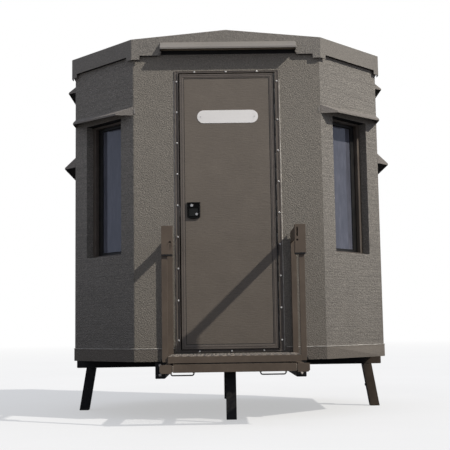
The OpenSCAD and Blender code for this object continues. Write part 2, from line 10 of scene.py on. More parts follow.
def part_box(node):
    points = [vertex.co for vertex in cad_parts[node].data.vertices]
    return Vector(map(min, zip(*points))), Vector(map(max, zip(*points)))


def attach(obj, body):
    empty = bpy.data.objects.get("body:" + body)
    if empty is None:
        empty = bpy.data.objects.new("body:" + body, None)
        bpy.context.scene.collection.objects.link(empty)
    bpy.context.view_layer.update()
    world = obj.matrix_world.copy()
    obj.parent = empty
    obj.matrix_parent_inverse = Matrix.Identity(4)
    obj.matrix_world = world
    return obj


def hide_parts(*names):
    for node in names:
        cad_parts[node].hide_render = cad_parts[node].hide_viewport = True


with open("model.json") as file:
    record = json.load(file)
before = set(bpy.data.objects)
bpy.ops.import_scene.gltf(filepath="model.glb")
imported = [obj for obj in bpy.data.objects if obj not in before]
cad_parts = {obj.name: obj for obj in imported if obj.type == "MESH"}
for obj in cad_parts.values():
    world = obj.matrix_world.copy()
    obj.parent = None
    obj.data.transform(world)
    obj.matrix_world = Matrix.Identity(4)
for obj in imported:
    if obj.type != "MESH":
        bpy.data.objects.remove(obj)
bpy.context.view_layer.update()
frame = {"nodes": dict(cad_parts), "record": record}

random.seed(7)
weld_random = random.Random(11)     # shared by all the welds, in building order


# ------------------------------------------------------------------ shader helpers
def linear(rgb):
    """Linear RGBA from 0-255 sRGB."""
    out = []
    for v in rgb:
        v = v / 255.0
        out.append(v / 12.92 if v <= 0.04045 else ((v + 0.055) / 1.055) ** 2.4)
    return tuple(out) + (1.0,)


def shade(colour, factor, lift=0.0):
    """The colour made darker or lighter, kept at or below 1."""
    return tuple(min(1, v * factor + lift) for v in colour[:3]) + (1.0,)


def set_inputs(node, inputs):
    """Link the sockets and store the plain values, by input name or index."""
    for key, value in inputs.items():
        if isinstance(value, bpy.types.NodeSocket):
            node.id_data.links.new(value, node.inputs[key])
        else:
            node.inputs[key].default_value = value


def add_node(tree, kind, inputs=None, **settings):
    node = tree.nodes.new("ShaderNode" + kind)
    for key, value in settings.items():
        setattr(node, key, value)
    set_inputs(node, inputs or {})
    return node


class Shader:
    """A new material with a Principled shader, and short ways to add nodes to it."""

    def __init__(self, name):
        self.material = bpy.data.materials.new(name)
        self.material.use_nodes = True
        self.tree = self.material.node_tree
        self.tree.nodes.clear()
        self.output = self.node("OutputMaterial")
        self.principled = self.node("BsdfPrincipled")
        self.surface(self.principled)
        self.coords = self.node("TexCoord").outputs["Object"]

    def node(self, kind, inputs=None, **settings):
        return add_node(self.tree, kind, inputs, **settings)

    def surface(self, shader):
        set_inputs(self.output, {0: shader.outputs[0]})

    def noise(self, scale, detail=4.0, rough=0.55, vec=None, distortion=0.0):
        inputs = {"Scale": scale, "Detail": detail, "Roughness": rough,
                  "Distortion": distortion, "Vector": vec or self.coords}
        return self.node("TexNoise", inputs).outputs["Fac"]

    def voronoi(self, scale, feature="F1", vec=None):
        inputs = {"Scale": scale, "Vector": vec or self.coords}
        return self.node("TexVoronoi", inputs, feature=feature).outputs["Distance"]

    def stretch(self, x=1.0, y=1.0, z=1.0):
        """Scaled coordinates: a factor below 1 draws the pattern out along that axis."""
        return self.node("Mapping", {"Scale": (x, y, z), "Vector": self.coords}).outputs[0]

    def ramp(self, fac, stops):
        """Colour ramp; stops maps position to colour."""
        node = self.node("ValToRGB", {0: fac})
        elements = node.color_ramp.elements
        while len(elements) < len(stops):
            elements.new(0.5)
        for element, (position, colour) in zip(elements, stops.items()):
            element.position = position
            element.color = colour
        return node.outputs[0]

    def remap(self, value, source, to=(0.0, 1.0)):
        """Clamped map from the source range to another."""
        inputs = {0: value, 1: source[0], 2: source[1], 3: to[0], 4: to[1]}
        return self.node("MapRange", inputs).outputs[0]

    def math(self, operation, a, b, clamp=False):
        return self.node("Math", {0: a, 1: b}, operation=operation, use_clamp=clamp).outputs[0]

    def mix(self, fac, a, b):
        return self.node("Mix", {0: fac, 6: a, 7: b}, data_type="RGBA").outputs[2]

    def tint(self, colour, toward, mask, over, amount):
        """Mix toward a colour by up to amount, as the mask rises over its range."""
        return self.mix(self.remap(mask, source=over, to=(0.0, amount)), colour, toward)

    def mix_shader(self, fac, a, b):
        return self.node("MixShader", {0: fac, 1: a.outputs[0], 2: b.outputs[0]})

    def axis(self, index):
        return self.node("SeparateXYZ", {0: self.coords}).outputs[index]

    def edge(self, radius):
        """0 on flats, towards 1 near edges."""
        rounded = self.node("Bevel", {"Radius": radius}, samples=4)
        normal = self.node("NewGeometry").outputs["Normal"]
        dot = self.node("VectorMath", {0: rounded.outputs[0], 1: normal},
                        operation="DOT_PRODUCT")
        return self.remap(dot.outputs["Value"], source=(0.995, 0.80))

    def underside_painted_shade(self, colour):
        """Faces that look down are painted near black: painted shade on the undersides."""
        normal = self.node("NewGeometry").outputs["True Normal"]
        z = self.node("SeparateXYZ", {0: normal}).outputs[2]
        return self.mix(self.remap(z, source=(-0.60, -0.80)), colour, (0.004, 0.004, 0.0038, 1))

    def fade(self, colour, amount):
        """The finish gets darker towards the bottom of the cabin, with broad patches."""
        fac = self.remap(self.axis(2), source=(0.45, 1.75), to=(amount, 0.0))
        patches = self.math("SUBTRACT", self.noise(scale=3.5, detail=4, rough=0.6), 0.5)
        patches = self.math("MULTIPLY", patches, 0.25 * amount)
        fac = self.math("ADD", fac, patches, clamp=True)
        return self.mix(fac, colour, (0.018, 0.012, 0.008, 1))

    def bump(self, height, strength, distance, normal=None):
        inputs = {"Strength": strength, "Distance": distance, "Height": height}
        if normal is not None:
            inputs["Normal"] = normal
        return self.node("Bump", inputs).outputs[0]

    def finish(self, colour, rough, normal=None, metallic=0.0, spec=0.5):
        inputs = {"Base Color": colour, "Roughness": rough, "Metallic": metallic,
                  "Specular IOR Level": spec}
        if normal is not None:
            inputs["Normal"] = normal
        set_inputs(self.principled, inputs)
        return self.material


# ------------------------------------------------------------------ kinds of material
def coating(name, base, banded=False, dirt=0.0, grain=1.0, fade=0.20):
    """Coarse sprayed-on coating: pebbled surface with speckled tone."""
    t = Shader(name)
    base = linear(base)
    dark = shade(base, 0.50 if banded else 0.60)
    light = shade(base, 1.62 if banded else 1.42)
    vec = t.stretch(x=0.80, y=0.80) if banded else t.coords
    fine = t.noise(scale=360, detail=3, rough=0.6, vec=vec)
    mid = t.noise(scale=150, detail=3, rough=0.6, vec=vec, distortion=0.4)
    broad = t.noise(scale=2.1, detail=5)
    pebbles = t.voronoi(scale=165, feature="SMOOTH_F1", vec=vec)
    colour = t.ramp(mid, {0.30: dark, 0.50: base, 0.70: light})
    colour = t.tint(colour, dark, mask=fine, over=(0.40, 0.70), amount=0.55)
    colour = t.tint(colour, light, mask=broad, over=(0.35, 0.7), amount=0.10)
    # faint run marks from rain
    runs = t.noise(scale=7, detail=5, rough=0.6, vec=t.stretch(z=0.06))
    colour = t.tint(colour, dark, mask=runs, over=(0.54, 0.78), amount=0.16)
    if dirt:
        low = t.remap(t.axis(2), source=(0.36, 0.85), to=(1.0, 0.0))
        spots = t.noise(scale=9, detail=6, rough=0.65)
        spots = t.remap(spots, source=(0.35, 0.75), to=(0.0, dirt))
        colour = t.mix(t.math("MULTIPLY", low, spots), colour, linear((96, 86, 75)))
    chips = t.noise(scale=30, detail=4, rough=0.6)
    worn = t.math("MULTIPLY", t.edge(radius=0.004),
                  t.remap(chips, source=(0.4, 0.7), to=(0.0, 0.6)))
    colour = t.mix(worn, colour, shade(base, 1.9))
    # downward faces painted near black: painted shade on the undersides
    colour = t.underside_painted_shade(t.fade(colour, fade))
    normal = t.bump(pebbles, strength=0.65 * grain, distance=0.0030)
    normal = t.bump(mid, strength=0.80 * grain, distance=0.0040, normal=normal)
    normal = t.bump(fine, strength=0.55 * grain, distance=0.0012, normal=normal)
    if banded:
        # shallow level ripples left by rolling the coat on
        ripple = t.noise(scale=88, detail=2, rough=0.5, vec=t.stretch(x=0.022, y=0.022),
                         distortion=0.10)
        swell = t.noise(scale=46, detail=2, rough=0.5, vec=t.stretch(x=0.035, y=0.035))
        # the ripple troughs are also painted darker in colour: painted shade on top of the bump
        colour = t.tint(colour, dark, mask=ripple, over=(0.52, 0.68), amount=0.30)
        normal = t.bump(ripple, strength=0.75, distance=0.0030, normal=normal)
        normal = t.bump(swell, strength=0.35, distance=0.0030, normal=normal)
    normal = t.bump(broad, strength=0.25, distance=0.005, normal=normal)
    rough = t.remap(mid, source=(0.3, 0.7), to=(0.62, 0.88))
    return t.finish(colour, rough, normal, spec=0.35)


def enamel(name, base, metal, rough, wear, dirt, grain=0.12, spec=0.45, vary=1.0,
           emboss=0.0, fade=0.0, under=False, film=0.0):
    """Powder coat or enamel on steel: slight orange peel, worn edges, dust."""
    t = Shader(name)
    base = linear(base)
    dark = shade(base, 1 - 0.22 * vary)
    light = shade(base, 1 + 0.22 * vary, lift=0.002)
    peel = t.noise(scale=380, detail=2, rough=0.5)
    broad = t.noise(scale=5.5, detail=5, rough=0.6)
    mid = t.noise(scale=60, detail=4, rough=0.6)
    colour = t.ramp(broad, {0.3: dark, 0.5: base, 0.72: light})
    colour = t.tint(colour, dark, mask=mid, over=(0.45, 0.75), amount=0.25)
    dust = t.remap(t.noise(scale=11, detail=6, rough=0.65), source=(0.45, 0.75))
    dust = t.math("MULTIPLY", dust, dirt)
    colour = t.mix(dust, colour, linear((128, 116, 98)))
    chips = t.noise(scale=75, detail=5, rough=0.7)
    worn = t.math("MULTIPLY", t.edge(radius=0.003),
                  t.remap(chips, source=(0.42, 0.62), to=(0.0, wear)))
    scratches = t.noise(scale=24, detail=2, rough=0.4, vec=t.stretch(x=6.0, y=6.0, z=0.5))
    scratches = t.remap(scratches, source=(0.70, 0.76), to=(0.0, 0.35 * wear))
    worn = t.math("MAXIMUM", worn, scratches)
    colour = t.mix(worn, colour, linear(metal))
    if fade:
        colour = t.fade(colour, fade)
    # downward faces painted near black: painted shade on the undersides
    if under:
        colour = t.underside_painted_shade(colour)
    if film:
        # brown patches on the parts furthest out on +X
        patches = t.remap(t.noise(scale=14, detail=5, rough=0.65), source=(0.30, 0.60),
                          to=(0.55 * film, film))
        mask = t.math("MULTIPLY", t.remap(t.axis(0), source=(0.93, 1.00)), patches)
        colour = t.mix(mask, colour, linear((74, 62, 50)))
    roughness = t.math("ADD", t.remap(mid, source=(0.3, 0.7), to=(rough - 0.07, rough + 0.10)),
                       t.math("MULTIPLY", dust, 0.6))
    normal = t.bump(peel, strength=grain, distance=0.0006)
    normal = t.bump(mid, strength=grain * 0.6, distance=0.0015, normal=normal)
    if emboss:
        # fine grain pressed into the sheet, running across
        coarse = t.noise(scale=150, detail=3, vec=t.stretch(x=0.16), distortion=0.4)
        fine = t.noise(scale=420, detail=2, rough=0.5, vec=t.stretch(x=0.5))
        colour = t.tint(colour, dark, mask=coarse, over=(0.42, 0.66), amount=0.42 * emboss)
        colour = t.tint(colour, shade(base, 0.6), mask=fine, over=(0.5, 0.75),
                        amount=0.30 * emboss)
        normal = t.bump(coarse, strength=0.55 * emboss, distance=0.0018, normal=normal)
        normal = t.bump(fine, strength=0.4 * emboss, distance=0.0007, normal=normal)
    return t.finish(colour, roughness, normal, metallic=t.math("MULTIPLY", worn, 0.6), spec=spec)


def bare_steel(name, base, rough=0.32):
    t = Shader(name)
    base = linear(base)
    brushed = t.noise(scale=180, detail=3, rough=0.6, vec=t.stretch(z=14.0))
    specks = t.noise(scale=900, detail=3, rough=0.6)
    colour = t.ramp(brushed, {0.3: shade(base, 0.72), 0.7: shade(base, 1.1)})
    colour = t.tint(colour, linear((120, 108, 88)), mask=specks, over=(0.55, 0.8), amount=0.4)
    return t.finish(colour, t.remap(brushed, source=(0.3, 0.7), to=(rough, rough + 0.18)),
                    t.bump(brushed, strength=0.12, distance=0.0003), metallic=0.9)


def rubber(name, base):
    t = Shader(name)
    base = linear(base)
    fine = t.noise(scale=500, detail=3, rough=0.6)
    broad = t.noise(scale=14, detail=4, rough=0.6)
    colour = t.ramp(broad, {0.3: shade(base, 0.7), 0.7: shade(base, 1.7, lift=0.003)})
    return t.finish(colour, t.remap(fine, source=(0.3, 0.7), to=(0.62, 0.85)),
                    t.bump(fine, strength=0.25, distance=0.0004), spec=0.35)


def plastic(name, base, rough=0.38, spec=0.5):
    t = Shader(name)
    base = linear(base)
    grain = t.voronoi(scale=1400)
    broad = t.noise(scale=40, detail=4, rough=0.6)
    colour = t.ramp(broad, {0.3: shade(base, 0.75), 0.7: shade(base, 1.35, lift=0.002)})
    worn = t.math("MULTIPLY", t.edge(radius=0.002), 0.25)
    colour = t.mix(worn, colour, linear((92, 90, 88)))
    return t.finish(colour, t.remap(broad, source=(0.3, 0.7), to=(rough, rough + 0.15)),
                    t.bump(grain, strength=0.18, distance=0.0003), spec=spec)


def glass(name, tint):
    """Grey-tinted pane under a thin even film of haze, with faint water marks."""
    t = Shader(name)
    haze = t.noise(scale=4, detail=4)
    marks = t.noise(scale=34, detail=4, rough=0.6, vec=t.stretch(z=0.25))
    film = t.math("ADD", t.remap(haze, source=(0.3, 0.7), to=(0.24, 0.31)),
                  t.remap(marks, source=(0.50, 0.80), to=(0.0, 0.08)))
    tinted = t.ramp(haze, {0.3: shade(tint, 0.90), 0.7: shade(tint, 1.0)})
    clear = t.node("BsdfTransparent", {0: tinted})
    waves = t.bump(t.noise(scale=2.2, detail=2, rough=0.4), strength=0.03, distance=0.01)
    glossy = t.node("BsdfGlossy", {"Roughness": 0.03, "Color": (0.92, 0.94, 1.0, 1),
                                   "Normal": waves})
    fresnel = t.node("Fresnel", {"IOR": 1.62, "Normal": waves})
    reflection = t.math("ADD", fresnel.outputs[0], 0.04, clamp=True)
    pane = t.mix_shader(reflection, clear, glossy)
    dust = t.ramp(marks, {0.3: linear((140, 143, 158)), 0.7: linear((156, 158, 172))})
    t.finish(dust, rough=0.9, spec=0.1)
    t.surface(t.mix_shader(film, pane, t.principled))
    return t.material


def timber(name, base):
    """Wood with its grain running along X."""
    t = Shader(name)
    base = linear(base)
    grain = t.noise(scale=9, detail=6, rough=0.6, vec=t.stretch(y=14.0, z=14.0), distortion=0.8)
    fibre = t.noise(scale=120, detail=3, rough=0.6, vec=t.stretch(x=0.4, y=6.0, z=6.0))
    colour = t.ramp(grain, {0.3: shade(base, 0.62), 0.5: base, 0.72: shade(base, 1.3)})
    colour = t.tint(colour, shade(base, 0.5), mask=fibre, over=(0.5, 0.75), amount=0.35)
    return t.finish(colour, t.remap(fibre, source=(0.3, 0.7), to=(0.6, 0.85)),
                    t.bump(grain, strength=0.25, distance=0.0012), spec=0.3)


def carpet(name, base):
    t = Shader(name)
    base = linear(base)
    pile = t.noise(scale=900, detail=3, rough=0.7)
    broad = t.noise(scale=8, detail=4, rough=0.6)
    colour = t.ramp(pile, {0.3: shade(base, 0.5), 0.7: shade(base, 1.5)})
    colour = t.tint(colour, shade(base, 0.6), mask=broad, over=(0.4, 0.7), amount=0.3)
    return t.finish(colour, rough=0.95, normal=t.bump(pile, strength=0.9, distance=0.003),
                    spec=0.1)


MATERIALS = {
    "coated_wall": coating("wall_coating", (131, 125, 115), dirt=0.25, grain=1.1),
    "coated_wall_band": coating("wall_coating_banded", (134, 129, 121), banded=True, dirt=0.25,
                                grain=1.45, fade=0.24),
    "skirt_coating": coating("skirt_coating", (116, 109, 100), dirt=0.10, grain=1.2),
    "roof_shell": coating("roof_coating", (131, 126, 118)),
    "brown_sheet": coating("hood_coating", (130, 124, 117), grain=0.55, fade=0.05),
    "canopy_sheet": enamel("canopy_sheet", (133, 128, 121), metal=(176, 172, 166), rough=0.42,
                           wear=0.25, dirt=0.08, grain=0.15, vary=0.35, under=True),
    "black_steel": enamel("black_steel", (17, 17, 17), metal=(84, 76, 66), rough=0.5,
                          wear=0.45, dirt=0.10, spec=0.35, film=0.9),
    "brown_steel": enamel("brown_steel", (89, 77, 65), metal=(132, 122, 110), rough=0.5,
                          wear=0.55, dirt=0.10, spec=0.4, vary=0.6, under=True),
    "deck_grating": enamel("deck_grating", (150, 141, 130), metal=(190, 182, 172), rough=0.5,
                           wear=0.9, dirt=0.15, spec=0.4),
    "dark_steel": enamel("dark_steel", (30, 29, 27), metal=(110, 106, 100), rough=0.42,
                         wear=0.6, dirt=0.1),
    "bolt_steel": enamel("bolt_steel", (214, 206, 196), metal=(200, 196, 190), rough=0.35,
                         wear=0.6, dirt=0.3),
    "floor_board": carpet("floor_carpet", (74, 70, 64)),
    "roof_board": timber("roof_board", (150, 138, 118)),
    "trim_brown": enamel("trim_brown", (98, 90, 82), metal=(160, 156, 150), rough=0.42,
                         wear=0.4, dirt=0.08, grain=0.08, vary=0.5, fade=0.15),
    "door_brown": enamel("door_skin_paint", (111, 102, 91), metal=(150, 144, 138), rough=0.5,
                         wear=0.25, dirt=0.04, grain=0.2, vary=0.35, emboss=1.3, fade=0.22),
    "hinge_black": enamel("hinge_black", (20, 19, 18), metal=(80, 78, 74), rough=0.5,
                          wear=0.3, dirt=0.05),
    "door_board": timber("door_board", (150, 134, 108)),
    "white_plate": enamel("white_plate", (240, 237, 232), metal=(160, 158, 156), rough=0.35,
                          wear=0.25, dirt=0.06, grain=0.05, vary=0.3),
    "screw_zinc": enamel("screw_zinc", (232, 230, 226), metal=(250, 250, 248), rough=0.3,
                         wear=0.2, dirt=0.12, grain=0.05, vary=0.3, spec=0.8),
    "weld_bead": enamel("weld_bead", (150, 138, 124), metal=(210, 200, 188), rough=0.35,
                        wear=0.6, dirt=0.1, grain=0.2, spec=0.7),
    "zinc_steel": bare_steel("zinc_steel", (222, 220, 216)),
    "seal_rubber": rubber("seal_rubber", (13, 13, 13)),
    "sealant": rubber("edge_sealant", (165, 160, 152)),
    "latch_black": plastic("latch_black", (24, 24, 24)),
    # near-black latch housing: black plastic, darkened further as painted shade for its recess
    "latch_recess_black_shade": plastic("latch_recess_black_shade", (8, 8, 8), spec=0.06),
    "latch_grip": plastic("latch_grip", (25, 26, 24), spec=0.22),
    "window_frame": enamel("window_frame", (88, 80, 72), metal=(150, 150, 150), rough=0.4,
                           wear=0.5, dirt=0.1),
    "sash_black": enamel("sash_black", (18, 18, 18), metal=(96, 96, 96), rough=0.42,
                         wear=0.3, dirt=0.06),
    "tinted_glass": glass("tinted_glass", (0.16, 0.17, 0.21)),
}

# ------------------------------------------------------------------ CAD nodes
# nodes whose material is not the one of their slot
NODE_MATERIAL = {
    "door_canopy": "canopy_sheet", "base_skirt": "skirt_coating",
    "corner_walls": "coated_wall_band", "side_walls": "coated_wall_band",
    "hinge_frame_leaf": "hinge_black", "hinge_door_leaf": "hinge_black",
    "hinge_pin": "hinge_black", "latch_housing": "latch_recess_black_shade", "latch_paddle": "latch_grip",
}
# bevel width by slot, and the nodes that depart from it (None: no bevel)
SLOT_BEVEL = {
    "coated_wall": 0.004, "roof_shell": 0.005, "brown_sheet": 0.0011, "black_steel": 0.0045,
    "brown_steel": 0.0035, "trim_brown": 0.0008, "door_brown": 0.0007, "white_plate": 0.0007,
    "latch_black": 0.0016, "window_frame": 0.0014, "sash_black": 0.0022, "dark_steel": 0.0008,
    "floor_board": 0.002, "door_board": 0.001, "roof_board": 0.002, "zinc_steel": 0.0004,
}
NODE_BEVEL = {"base_skirt": 0.0012, "corner_brackets": None, "hinge_pin": None}


def add_bevel(obj, width):
    bevel = obj.modifiers.new("bevel", "BEVEL")
    bevel.width = width
    bevel.segments = 2
    bevel.limit_method = "ANGLE"
    bevel.angle_limit = math.radians(35)


def dress_nodes():
    slots = {part["node"]: part["material_slot"] for part in frame["record"]["subparts"]}
    for name, obj in frame["nodes"].items():
        slot = slots[name]
        obj.data.materials.clear()
        obj.data.materials.append(MATERIALS[NODE_MATERIAL.get(name, slot)])
        width = NODE_BEVEL.get(name, SLOT_BEVEL.get(slot))
        if width:
            weld_modifier = obj.modifiers.new("weld", "WELD")
            weld_modifier.merge_threshold = 0.00005
            add_bevel(obj, width)


dress_nodes()


# ------------------------------------------------------------------ mesh helpers
class Shells:
    """Collects vertices and faces; every call adds one closed shell."""

    def __init__(self):
        self.verts, self.faces = [], []

    def add(self, verts, faces):
        first = len(self.verts)
        self.verts += [Vector(v) for v in verts]
        self.faces += [tuple(i + first for i in face) for face in faces]

    def box(self, x, y, z):
        """Box over three (low, high) ranges."""
        corners = [(x[i], y[j], z[k]) for k in (0, 1) for i, j in ((0, 0), (1, 0), (1, 1), (0, 1))]
        self.add(corners, [(0, 3, 2, 1), (4, 5, 6, 7), (0, 1, 5, 4), (1, 2, 6, 5), (2, 3, 7, 6),
                           (3, 0, 4, 7)])

    def loft(self, rings, closed=False):
        """Skin through rings of points: capped at the ends, or joined last to first."""
        size, count = len(rings[0]), len(rings)
        faces = []
        for i in range(count if closed else count - 1):
            j = (i + 1) % count
            for k in range(size):
                m = (k + 1) % size
                faces.append((i * size + k, i * size + m, j * size + m, j * size + k))
        if not closed:
            faces.append(tuple(range(size - 1, -1, -1)))
            faces.append(tuple((count - 1) * size + k for k in range(size)))
        self.add([point for ring in rings for point in ring], faces)

    def lathe(self, origin, axis, profile, sides):
        """Turned shape; profile is (distance along the axis, radius)."""
        axis = Vector(axis).normalized()
        across = axis.orthogonal().normalized()
        self.loft([circle(Vector(origin) + axis * distance, across, axis.cross(across),
                          max(radius, 1e-5), sides) for distance, radius in profile])

    def tube(self, points, radius, sides=8):
        """Round bar through points; radius is one number or one per point."""
        points = [Vector(p) for p in points]
        radii = radius if isinstance(radius, list) else [radius] * len(points)
        rings = []
        across = None
        for i, point in enumerate(points):
            before = points[max(i - 1, 0)]
            after = points[min(i + 1, len(points) - 1)]
            along = (after - before).normalized()
            if across is None:
                across = along.orthogonal().normalized()
            else:
                across = (across - along * across.dot(along)).normalized()
            rings.append(circle(point, across, along.cross(across), radii[i], sides))
        self.loft(rings)


def circle(centre, u, w, radius, sides):
    angles = [2 * math.pi * k / sides for k in range(sides)]
    return [centre + (u * math.cos(a) + w * math.sin(a)) * radius for a in angles]


def piece(name, shells, body, material, smooth=False, bevel=None, replaces=None):
    """Make the shells an object that moves with a body."""
    mesh = bpy.data.meshes.new(name)
    mesh.from_pydata([tuple(v) for v in shells.verts], [], shells.faces)
    mesh.validate()
    bm = bmesh.new()
    bm.from_mesh(mesh)
    bmesh.ops.recalc_face_normals(bm, faces=bm.faces)
    bm.to_mesh(mesh)
    bm.free()
    for polygon in mesh.polygons:
        polygon.use_smooth = smooth
    obj = bpy.data.objects.new(name, mesh)
    bpy.context.scene.collection.objects.link(obj)
    mesh.materials.append(MATERIALS[material])
    if bevel:
        add_bevel(obj, bevel)
    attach(obj, body)
    if replaces:
        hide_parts(replaces)


def weld(shells, start, end, radius):
    """A rippled weld bead."""
    start, end = Vector(start), Vector(end)
    step = 0.0035 / 3                # three points to each ripple
    jitter = 0.00018
    count = max(4, int((end - start).length / step))
    points = [start.lerp(end, i / count) for i in range(count + 1)]
    draw = weld_random.uniform
    for point in points:
        point += Vector((draw(-1, 1), draw(-1, 1), draw(-1, 1))) * jitter
    radii = [radius * (0.82 + 0.18 * abs(math.sin(math.pi * i / 3.0)) + draw(-0.04, 0.04))
             for i in range(count + 1)]
    radii[0] *= 0.5
    radii[-1] *= 0.5
    shells.tube(points, radii, sides=6)


# Rectangles in the XZ plane are (left, right, bottom, top).
def face_rect(node):
    low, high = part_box(node)
    return low.x, high.x, low.z, high.z


def grown(rect, sides, bottom, top):
    return rect[0] - sides, rect[1] + sides, rect[2] - bottom, rect[3] + top


def shrunk(rect, inset):
    return grown(rect, sides=-inset, bottom=-inset, top=-inset)


def centred_rect(half_width, half_height):
    return -half_width, half_width, -half_height, half_height


def frame_rings(profile, inner, outer, place=Matrix.Identity(4)):
    """Mitred frame; profile is (u, y) with u 0 at the inner and 1 at the outer rectangle."""
    rings = []
    for u, y in profile:
        left, right, bottom, top = (a + (b - a) * u for a, b in zip(inner, outer))
        corners = ((left, y, bottom), (right, y, bottom), (right, y, top), (left, y, top))
        rings.append([place @ Vector(corner) for corner in corners])
    return rings


# ------------------------------------------------------------------ driving dimensions
floor_low, floor_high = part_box("floor_pan")
HALF_X = (floor_high.x - floor_low.x) / 2
HALF_Y = (floor_high.y - floor_low.y) / 2
CENTRE_Y = (floor_high.y + floor_low.y) / 2
BASE_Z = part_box("base_skirt")[0].z
wall_low, wall_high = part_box("wall_front")
FRONT_HALF = (wall_high.x - wall_low.x) / 2 + 0.0001   # half the width of the front wall
CORNER = HALF_X - FRONT_HALF         # leg of each cut corner
SIDE_HALF = HALF_Y - CORNER
FRONT_Y = -HALF_Y + CENTRE_Y         # outer plane of the front wall
HALF_MITRE = math.tan(math.radians(22.5))
FORWARD = (0, -1, 0)

DOOR = face_rect("door_skin")
DOOR_SKIN_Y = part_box("door_skin")[0].y
TRIM_OUTER = shrunk(face_rect("door_frame"), 0.004)
BOLT_LOW, BOLT_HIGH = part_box("latch_bolt")
POCKET_Z = (BOLT_LOW.z - 0.003, BOLT_HIGH.z + 0.003)   # bolt pocket in the jamb

DECK_X = 0.016                       # sideways offset of the deck
rail_low, rail_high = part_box("handrail_right")
RAIL_TOP = rail_high.z
DECK_FRONT = rail_low.y + 0.004
DECK_UNDER = BASE_Z - 0.049
LOOP_Y = DECK_FRONT + 0.012
LOOP_SPANS = ((-0.367, -0.235), (0.148, 0.294))        # x of the loop ends from DECK_X
# sign of x, name, inner and outer x of the rail's end box from DECK_X
RAILS = ((1, "right", 0.3615, 0.424), (-1, "left", 0.351, 0.4155))

RUNNER_X = 0.440
BEAM_Z = BASE_Z - 0.066

# origin x, y from the cabin's middle, and turn of each wall face
CORNER_X, CORNER_Y = FRONT_HALF + CORNER / 2, HALF_Y - CORNER / 2
FACE_PLACES = {
    "front": (0, -HALF_Y, 0), "front_right": (CORNER_X, -CORNER_Y, 45),
    "right": (HALF_X, 0, 90), "rear_right": (CORNER_X, CORNER_Y, 135),
    "rear": (0, HALF_Y, 180), "rear_left": (-CORNER_X, CORNER_Y, 225),
    "left": (-HALF_X, 0, 270), "front_left": (-CORNER_X, -CORNER_Y, 315),
}
# face frames: origin at the middle of the outer plane, +y into the cabin
FACES = {name: Matrix.Translation((x, y + CENTRE_Y, 0))
         @ Matrix.Rotation(math.radians(turn), 4, "Z")
         for name, (x, y, turn) in FACE_PLACES.items()}
FACE_HALF = {"front": FRONT_HALF, "rear": FRONT_HALF, "right": SIDE_HALF, "left": SIDE_HALF}


# ------------------------------------------------------------------ deck
def deck_mesh():
    """Expanded metal: zigzag strands running front to back, nearly touching at the knots."""
    low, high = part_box("deck_mesh")
    pitch_x, pitch_y = 0.0228, 0.0250
    knot_half = 0.0030               # half the length of a knot
    border = 0.0020
    notch_x, notch_y = 0.362, high.y - 0.045   # the rear corners are cut out
    # section of a strand: x and z from its middle
    section = ((-0.0020, -0.0015), (0.0014, -0.0015), (0.0022, 0.0017), (-0.0012, 0.0017))
    columns = int((high.x - low.x - 0.004) / pitch_x)
    rows = int((high.y - low.y - 0.002) / pitch_y)
    middle_x = (low.x + high.x) / 2
    start_x = middle_x - columns * pitch_x / 2
    start_y = (low.y + high.y) / 2 - rows * pitch_y / 2
    middle_z = (low.z + high.z) / 2
    shells = Shells()
    for i in range(columns + 1):
        rings = []
        for j in range(rows + 1):
            side = 1 if (i + j) % 2 else -1
            x = start_x + i * pitch_x + side * (pitch_x / 2 - 0.0010)
            x = min(max(x, low.x + border), high.x - border)
            y = start_y + j * pitch_y
            if abs(x - middle_x) > notch_x and y > notch_y:
                break
            z = middle_z + side * 0.0005
            for offset in (-knot_half, knot_half):
                if (j == 0 and offset < 0) or (j == rows and offset > 0):
                    continue
                rings.append([(x + dx, y + offset, z + dz) for dx, dz in section])
        shells.loft(rings)
    piece("deck_expanded_mesh", shells, "cabin", "deck_grating", replaces="deck_mesh")


# ------------------------------------------------------------------ door surround
def door_trim():
    # u from the inner to the outer edge, y from the wall plane
    profile = [(0.0, -0.0002), (0.0, -0.0106), (0.03, -0.0112), (0.12, -0.0112),
               (0.15, -0.0106), (0.16, -0.0036), (0.18, -0.0030), (0.66, -0.0030),
               (0.68, -0.0036), (0.70, -0.0052), (0.74, -0.0058), (0.93, -0.0058),
               (0.98, -0.0050), (1.0, -0.0030), (1.0, -0.0002)]
    profile = [(u, FRONT_Y + y) for u, y in profile]
    inner = grown(DOOR, sides=0.0085, bottom=0.0025, top=0.009)
    shells = Shells()
    shells.loft(frame_rings(profile, inner, TRIM_OUTER), closed=True)
    piece("door_trim", shells, "cabin", "trim_brown", replaces="door_frame", bevel=0.0004)


def door_jamb():
    """Black return behind the trim, with a pocket for the bolt on the left, and a stop; its black
    is painted shade for the deep gap round the leaf.
    """
    thick = 0.0028
    pocket_front, pocket_back = FRONT_Y + 0.0025, FRONT_Y + 0.0245
    stop_front, stop_back = FRONT_Y + 0.0382, FRONT_Y + 0.0440
    left, right, bottom, top = grown(DOOR, sides=0.006, bottom=0.004, top=0.0065)
    low, high = POCKET_Z
    depth = (FRONT_Y, FRONT_Y + 0.060)
    full_x, left_x = (left - thick, right + thick), (left - thick, left)
    shells = Shells()
    shells.box(full_x, depth, (bottom - thick, bottom))
    shells.box(full_x, depth, (top, top + thick))
    shells.box((right, right + thick), depth, (bottom, top))
    shells.box(left_x, depth, (bottom, low))
    shells.box(left_x, depth, (high, top))
    shells.box(left_x, (depth[0], pocket_front), POCKET_Z)
    shells.box(left_x, (pocket_back, depth[1]), POCKET_Z)
    profile = [(0.0, stop_front), (0.0, stop_back), (1.0, stop_back), (1.0, stop_front)]
    outer = grown(DOOR, sides=0.0055, bottom=0.0035, top=0.006)
    shells.loft(frame_rings(profile, shrunk(DOOR, 0.014), outer), closed=True)
    piece("door_jamb", shells, "cabin", "seal_rubber", bevel=0.0005)


